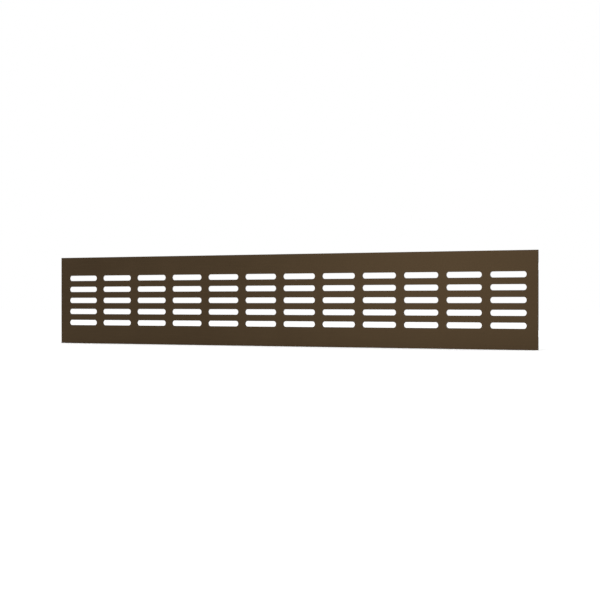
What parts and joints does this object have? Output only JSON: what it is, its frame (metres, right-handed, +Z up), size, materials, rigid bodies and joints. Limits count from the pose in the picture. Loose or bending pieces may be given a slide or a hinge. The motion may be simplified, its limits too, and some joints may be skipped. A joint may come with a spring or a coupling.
{
  "type": "ventilation grille",
  "caption": "Flat slotted aluminium ventilation grille with rear stiffening rails and sprung edge clips that hold it in a rectangular panel cut-out.",
  "frame": {"origin": "centre of the plane where the back of the face plate seats on the panel", "axes": "+X along the grille, to the right as seen from the front; +Y into the panel, away from the face; +Z up"},
  "size_m": [0.5, 0.0184, 0.08],
  "materials": {
    "bronze_anodised": "satin dark bronze anodising",
    "mill_aluminium": "mill-finish extrusion",
    "bond_tape": "double-sided acrylic bonding tape, dark grey",
    "spring_steel": "bright rolled spring strip"
  },
  "bodies": {
    "grille": {"grille_plate": "bronze_anodised", "upper_rail": "mill_aluminium", "lower_rail": "mill_aluminium", "upper_bond_tape": "bond_tape", "lower_bond_tape": "bond_tape", "upper_left_clip_saddle": "spring_steel", "upper_middle_clip_saddle": "spring_steel", "upper_right_clip_saddle": "spring_steel", "lower_left_clip_saddle": "spring_steel", "lower_middle_clip_saddle": "spring_steel", "lower_right_clip_saddle": "spring_steel"},
    "upper_left_leaf": {"upper_left_clip_leaf": "spring_steel"},
    "upper_middle_leaf": {"upper_middle_clip_leaf": "spring_steel"},
    "upper_right_leaf": {"upper_right_clip_leaf": "spring_steel"},
    "lower_left_leaf": {"lower_left_clip_leaf": "spring_steel"},
    "lower_middle_leaf": {"lower_middle_clip_leaf": "spring_steel"},
    "lower_right_leaf": {"lower_right_clip_leaf": "spring_steel"}
  },
  "joints": [
    {"name": "upper_left_clip_flex", "type": "hinge", "parent": "grille", "child": "upper_left_leaf", "pos_m": [-0.195, 0.016, 0.0291], "axis": [1, 0, 0], "range_deg": [0, 10], "stiffness_Nm_per_rad": 2},
    {"name": "upper_middle_clip_flex", "type": "hinge", "parent": "grille", "child": "upper_middle_leaf", "pos_m": [0, 0.016, 0.0291], "axis": [1, 0, 0], "range_deg": [0, 10], "stiffness_Nm_per_rad": 2},
    {"name": "upper_right_clip_flex", "type": "hinge", "parent": "grille", "child": "upper_right_leaf", "pos_m": [0.195, 0.016, 0.0291], "axis": [1, 0, 0], "range_deg": [0, 10], "stiffness_Nm_per_rad": 2},
    {"name": "lower_left_clip_flex", "type": "hinge", "parent": "grille", "child": "lower_left_leaf", "pos_m": [-0.195, 0.016, -0.0291], "axis": [-1, 0, 0], "range_deg": [0, 10], "stiffness_Nm_per_rad": 2},
    {"name": "lower_middle_clip_flex", "type": "hinge", "parent": "grille", "child": "lower_middle_leaf", "pos_m": [0, 0.016, -0.0291], "axis": [-1, 0, 0], "range_deg": [0, 10], "stiffness_Nm_per_rad": 2},
    {"name": "lower_right_clip_flex", "type": "hinge", "parent": "grille", "child": "lower_right_leaf", "pos_m": [0.195, 0.016, -0.0291], "axis": [-1, 0, 0], "range_deg": [0, 10], "stiffness_Nm_per_rad": 2}
  ]
}
